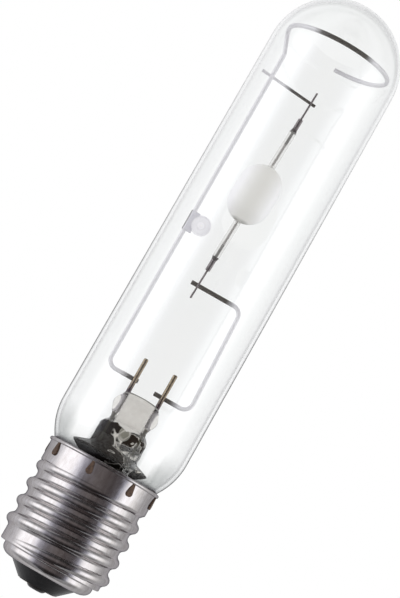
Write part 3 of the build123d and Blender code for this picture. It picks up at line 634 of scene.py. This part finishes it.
def shell_section():
    """Closed section of the shell: out from the mouth over the dish, up to the rim and back inside."""
    bead_x = RIM_R - BEAD_INSET
    lining = SHELL_SHEET
    points = [(MOUTH_R, DISH_Z)]
    for x, z in arc((0, 0), 1, -90, 0, 14):
        points.append((DISH_R + DISH_REACH * (x - 1), DISH_Z + DISH_ROUND * (z + 1)))
    points += arc((DISH_R + FOOT_FILLET, FOOT_Z - FOOT_FILLET), FOOT_FILLET, 180, 90, 3)
    points += arc((CORE_R - FOOT_ROUND, FOOT_Z + FOOT_ROUND), FOOT_ROUND, -90, 0, 5)
    points += run((CORE_R, FOOT_Z + FOOT_ROUND), (CORE_R, SKIRT_Z - SKIRT_SLOPE - SLOPE_MARGIN), 130)[1:]
    points += run((CORE_R, SKIRT_Z - SKIRT_SLOPE), (SKIRT_R, SKIRT_Z), 8)
    points += run((SKIRT_R, SKIRT_Z + SLOPE_MARGIN), (SKIRT_R, CAP_HEIGHT - RIM_FLARE), 10)
    points += run((SKIRT_R, CAP_HEIGHT - RIM_FLARE), (bead_x, CAP_HEIGHT - 2 * BEAD_R), 5)[1:]
    points += arc((bead_x, CAP_HEIGHT - BEAD_R), BEAD_R, -75, 90, 9)
    points += [(RIM_R - lining, CAP_HEIGHT), (SKIRT_R - lining, CAP_HEIGHT - RIM_FLARE)]
    points += [(SKIRT_R - lining, SKIRT_Z), (CORE_R - lining, SKIRT_Z - SKIRT_SLOPE)]
    points += [(CORE_R - lining, FOOT_Z + lining), (DISH_R - lining, FOOT_Z + lining)]
    points += arc((DISH_R - DISH_ROUND, DISH_Z + DISH_ROUND), DISH_ROUND - lining, 0, -90, 8)
    points += [(MOUTH_R, DISH_Z + lining)]
    return points


def threaded(verts):
    """Points of the turned shell with those of the outer wall pushed out to the thread."""
    low = FOOT_Z + 0.1
    high = SKIRT_Z + 1
    edge = 0.4  # points of the rounded foot this far inside the wall move with it
    moved = []
    for x, y, z in verts:
        radius = math.hypot(x, y)
        slope = min(1, max(0, (z - SKIRT_Z) / SKIRT_SLOPE + 1))
        wall_r = CORE_R + (SKIRT_R - CORE_R) * slope
        if low < z < high and radius > wall_r - edge:
            grow = max(1, thread_radius(math.atan2(y, x) % (2 * math.pi), z) / radius)
            x, y = x * grow, y * grow
        moved.append((x, y, z))
    return moved


def slot_forms():
    """Points and faces of the keyhole forms that are cut out of the skirt, up to inside the rim bead."""
    top = CAP_HEIGHT - SLOT_TO_RIM
    wide_r = SLOT_WIDTH / 2
    tip_r = SLOT_TIP_WIDTH / 2
    lean = math.degrees(math.asin((wide_r - tip_r) / (SLOT_LENGTH - wide_r - tip_r)))
    outline = arc((0, top - SLOT_LENGTH + wide_r), wide_r + SLOT_GAP, 180 - lean, 360 + lean, 16)
    outline += arc((0, top - tip_r), tip_r + SLOT_GAP, lean, 180 - lean, 8)
    count = len(outline)
    verts = []
    faces = []
    for k in range(SLOT_COUNT):
        angle = math.radians(SLOT_ANGLE + 360 * k / SLOT_COUNT)
        c, s = math.cos(angle), math.sin(angle)
        first = len(verts)
        for reach in (CORE_R, SKIRT_R + CEMENT_BULGE + SLOT_GAP):
            for side, z in outline:
                verts.append((reach * c - side * s, reach * s + side * c, z))
        inner = list(range(first, first + count))
        outer = list(range(first + count, first + 2 * count))
        for i in range(count):
            j = (i + 1) % count
            faces.append([inner[i], inner[j], outer[j], outer[i]])
        faces += [inner[::-1], outer]
    return verts, faces


def cut(piece, verts, faces):
    """Takes closed forms out of a piece and keeps the edges of the cuts crisp."""
    form = add_object("cut", verts, faces)
    mesh = form.data
    boolean = piece.modifiers.new("cut", "BOOLEAN")
    boolean.operation = "DIFFERENCE"
    boolean.solver = "EXACT"
    boolean.object = form
    settle(piece)
    piece.data.set_sharp_from_angle(angle=math.radians(40))
    bpy.data.objects.remove(form)
    bpy.data.meshes.remove(mesh)


shell_verts, shell_faces = lathe(shell_section(), SHELL_TURNS)
shell = place("cap_shell", threaded(shell_verts), shell_faces, nickel, ["screw_shell"])
cut(shell, *slot_forms())

# Outer bulb. It casts no shadow and stops no diffuse light, so that what it holds isn't dark
outside = bulb_outline(0)
inside = bulb_outline(-BULB_WALL)
bulb_verts, bulb_faces = lathe(outside + inside[::-1], BULB_TURNS)
bulb = place("bulb_glass", bulb_verts, bulb_faces, bulb_glass, ["outer_bulb"])
bulb.visible_diffuse = False
bulb.visible_shadow = False


# Glass stem: flare, rib and tube turned, press lofted, then melted into one

def stem_section():
    """Closed section of the flare, the rib and the tube."""
    seal_z = NECK_Z - SEAL_HEIGHT
    seal_r = NECK_R - BULB_WALL - SEAL_GAP
    rib_low = RIB_Z - RIB_SPAN_DOWN
    rib_high = RIB_Z + RIB_SPAN_UP
    lip_r = RIB_R - RIB_EDGE
    points = [(NECK_R, seal_z), (NECK_R, NECK_Z), (seal_r, NECK_Z)]
    points += run((seal_r, NECK_Z), (STEM_NECK_R, rib_low), 8)[1:]
    points += run((STEM_NECK_R, rib_low), (lip_r, RIB_Z - RIB_EDGE), 4)[1:]
    points += [(RIB_R, RIB_Z), (lip_r, RIB_Z + RIB_EDGE)]
    points += run((lip_r, RIB_Z + RIB_EDGE), (TUBE_R, rib_high), 5)[1:]
    points += run((TUBE_R, rib_high), (TUBE_R, TUBE_TOP_Z), 4)[1:]
    points += arc((TUBE_R - TUBE_ROUND, TUBE_TOP_Z), TUBE_ROUND, 0, 90, 6)[1:]
    points += [(0, TUBE_TOP_Z + TUBE_ROUND), (0, TUBE_TOP_Z)]
    for angle in (1.2, 0.8, 0.4, 0.0):
        height = TUBE_TOP_Z - TUBE_ROUND + TUBE_ROUND * math.sin(angle)
        points.append((TUBE_BORE_R * math.cos(angle), height))
    points += [(TUBE_BORE_R, RIB_Z), (STEM_NECK_BORE_R, rib_low), (seal_r - STEM_WALL, seal_z)]
    return points


def press_loft():
    """Points and faces of the flat press with its ears and crowned top."""
    steps = [(height, 0, 0) for height in (0, 1.2, 2.4, 3.6, 5, 6.5, 8, 9, 10, 11, 12, 13, 14.2)]
    steps += [(15.0, 0.1, 0.2), (15.4, 0.45, 0.7), (15.6, 1.0, 1.3)]
    verts = []
    for height, shrink_x, shrink_y in steps:
        ear = max(0.0, 1 - ((height - EAR_ABOVE_FOOT) / EAR_HALF_HEIGHT) ** 2)
        root = math.exp(-((height / ROOT_HEIGHT) ** 2))
        half_x = PRESS_HALF_X + EAR_WIDTH * ear - shrink_x
        half_y = (PRESS_HALF_Y - EAR_THINNING * ear) + ROOT_THICKENING * root - shrink_y
        crowned = max(0.0, (height - CROWN_ABOVE_FOOT) / CROWN_HEIGHT)
        for i in range(PRESS_TURNS):
            angle = 2 * math.pi * i / PRESS_TURNS
            c, s = math.cos(angle), math.sin(angle)
            x = half_x * math.copysign(abs(c) ** PRESS_SQUARE, c)
            y = half_y * math.copysign(abs(s) ** PRESS_SQUARE, s)
            crown = PRESS_CROWN * (x / PRESS_HALF_X) ** 2 * crowned
            verts.append((x, y, PRESS_FOOT_Z + height - crown))
    faces = []
    for k in range(len(steps) - 1):
        low = k * PRESS_TURNS
        high = low + PRESS_TURNS
        for i in range(PRESS_TURNS):
            j = (i + 1) % PRESS_TURNS
            faces.append([low + i, low + j, high + j, high + i])
    faces.append(list(range(PRESS_TURNS))[::-1])
    faces.append(list(range(len(verts) - PRESS_TURNS, len(verts))))
    return verts, faces


def melt(piece, voxel, rounds):
    """Joins the shells of a piece into one skin and softens its edges."""
    remesh = piece.modifiers.new("join", "REMESH")
    remesh.mode = "VOXEL"
    remesh.voxel_size = voxel * MM
    soften = piece.modifiers.new("soften", "SMOOTH")
    soften.factor = 0.5
    soften.iterations = rounds
    settle(piece)


def ripple(piece, depth, size, low, high):
    """Uneven surface of pressed glass between two heights."""
    outwards = [vert.normal.copy() for vert in piece.data.vertices]
    for vert, normal in zip(piece.data.vertices, outwards):
        height = vert.co.z / MM
        if low < height < high:
            fade = min(1.0, (height - low) / 2, (high - height) / 2)
            push = noise.noise(vert.co / (size * MM)) + 0.5 * noise.noise(vert.co * 2.3 / (size * MM))
            vert.co += normal * push * depth * fade * MM


section_verts, section_faces = lathe(stem_section(), STEM_TURNS)
press_verts, press_faces = press_loft()
shift = len(section_verts)
stem = place(
    "stem_glass",
    section_verts + press_verts,
    section_faces + [[i + shift for i in face] for face in press_faces],
    stem_glass,
    ["glass_stem"],
)
melt(stem, MELT_VOXEL, MELT_ROUNDS)
ripple(stem, RIPPLE_DEPTH, RIPPLE_SIZE, RIPPLE_LOW_Z, RIPPLE_HIGH_Z)


# World: plain white behind the lamp, a studio with soft boxes at both sides for reflections

def sector(degrees):
    """Place on the ramp of a direction, in degrees to the right of the camera side."""
    return degrees / 360 + 0.5


world = bpy.data.worlds.new("studio")
bpy.context.scene.world = world
world.use_nodes = True
tree = world.node_tree
background = tree.nodes["Background"]
direction = tree.nodes.new("ShaderNodeTexCoord")
split = tree.nodes.new("ShaderNodeSeparateXYZ")
tree.links.new(direction.outputs["Generated"], split.inputs[0])
to_camera = calculate(tree, "MULTIPLY", split.outputs["Y"], -1.0)
azimuth = calculate(tree, "ARCTAN2", split.outputs["X"], to_camera)
around = calculate(tree, "ADD", calculate(tree, "DIVIDE", azimuth, 2 * math.pi), 0.5)
ring = ramp(tree, around, [
    (sector(-150), (0.80, 0.80, 0.81)),
    (sector(-128), (0.72, 0.72, 0.74)),
    (sector(-112), (0.74, 0.74, 0.78)),
    (sector(-98), (0.95, 0.95, 0.99)),
    (sector(-86), (1.65, 1.65, 1.7)),
    (sector(-56), (1.65, 1.65, 1.7)),
    (sector(-46), (1.2, 1.2, 1.3)),
    (sector(-38), (0.48, 0.48, 0.56)),
    (sector(-28), (0.22, 0.21, 0.24)),
    (sector(-16), (0.17, 0.155, 0.165)),
    (sector(0), (0.14, 0.12, 0.12)),
    (sector(28), (0.07, 0.058, 0.06)),
    (sector(44), (0.11, 0.10, 0.11)),
    (sector(52), (0.42, 0.43, 0.52)),
    (sector(62), (1.5, 1.5, 1.55)),
    (sector(76), (1.65, 1.65, 1.7)),
    (sector(90), (1.3, 1.3, 1.3)),
    (sector(102), (0.85, 0.85, 0.86)),
    (sector(116), (0.60, 0.60, 0.61)),
    (sector(135), (0.58, 0.58, 0.59)),
    (sector(150), (0.72, 0.72, 0.73)),
])
steep = calculate(tree, "ABSOLUTE", split.outputs["Z"], 0.0)
dimmed = tree.nodes.new("ShaderNodeVectorMath")
dimmed.operation = "SCALE"
tree.links.new(ring, dimmed.inputs["Vector"])
to_back = spread(tree, split.outputs["Y"], 0.0, 1.0, 0.05, 0.45)
brightness = mix_value(tree, to_back, spread(tree, steep, 1.0, 0.24, 0.22, 0.62), 1.0)
tree.links.new(brightness, dimmed.inputs["Scale"])
right_behind = spread(tree, split.outputs["Y"], 0.0, 1.0, 0.93, 0.985)
behind = mix_colour(tree, right_behind, (0.97, 0.97, 0.98), (0.06, 0.06, 0.06))
back_half = spread(tree, split.outputs["Y"], 0.0, 1.0, 0.70, 0.86)
studio = mix_colour(tree, back_half, dimmed.outputs["Vector"], behind)
path = tree.nodes.new("ShaderNodeLightPath")
dull = calculate(tree, "GREATER_THAN", path.outputs["Diffuse Depth"], 0.5)
studio = mix_colour(tree, dull, studio, (1.0, 1.0, 1.0))
not_glossy = calculate(tree, "LESS_THAN", path.outputs["Glossy Depth"], 0.5)
not_dull = calculate(tree, "LESS_THAN", path.outputs["Diffuse Depth"], 0.5)
straight = calculate(tree, "MULTIPLY", not_glossy, not_dull)
tree.links.new(mix_colour(tree, straight, studio, (1.0, 1.0, 1.0)), background.inputs["Color"])

# Floor
corners = []
for i in range(FLOOR_CORNERS):
    angle = 2 * math.pi * i / FLOOR_CORNERS
    corners.append((FLOOR_R * math.cos(angle), FLOOR_R * math.sin(angle), FLOOR_Z))
floor = add_object("floor", corners, [list(range(FLOOR_CORNERS))])
pale_floor = matte("pale_floor", (0.875, 0.875, 0.875), (0.885, 0.885, 0.885), 0.9, 0.3, 0.01)
floor.data.materials.append(pale_floor)
floor.visible_glossy = False

# Camera
camera = bpy.data.objects.new("camera", bpy.data.cameras.new("camera"))
bpy.context.scene.collection.objects.link(camera)
bpy.context.scene.camera = camera
camera.data.sensor_fit = "AUTO"
camera.data.sensor_width = SENSOR
camera.data.lens = CAMERA_FOCAL / FRAME_HEIGHT * SENSOR
camera.data.clip_start = 0.01
forward = (Vector(CAMERA_AIM) - Vector(CAMERA_AT)).normalized()
level = forward.cross(Vector((0, 0, 1))).normalized()
upright = level.cross(forward)
roll = math.radians(CAMERA_ROLL)
right = upright * math.sin(roll) + level * math.cos(roll)
up = upright * math.cos(roll) - level * math.sin(roll)
turn = Matrix((right, up, -forward)).transposed().to_4x4()
camera.matrix_world = Matrix.Translation(Vector(CAMERA_AT) * MM) @ turn

bpy.context.scene.view_settings.view_transform = "Standard"
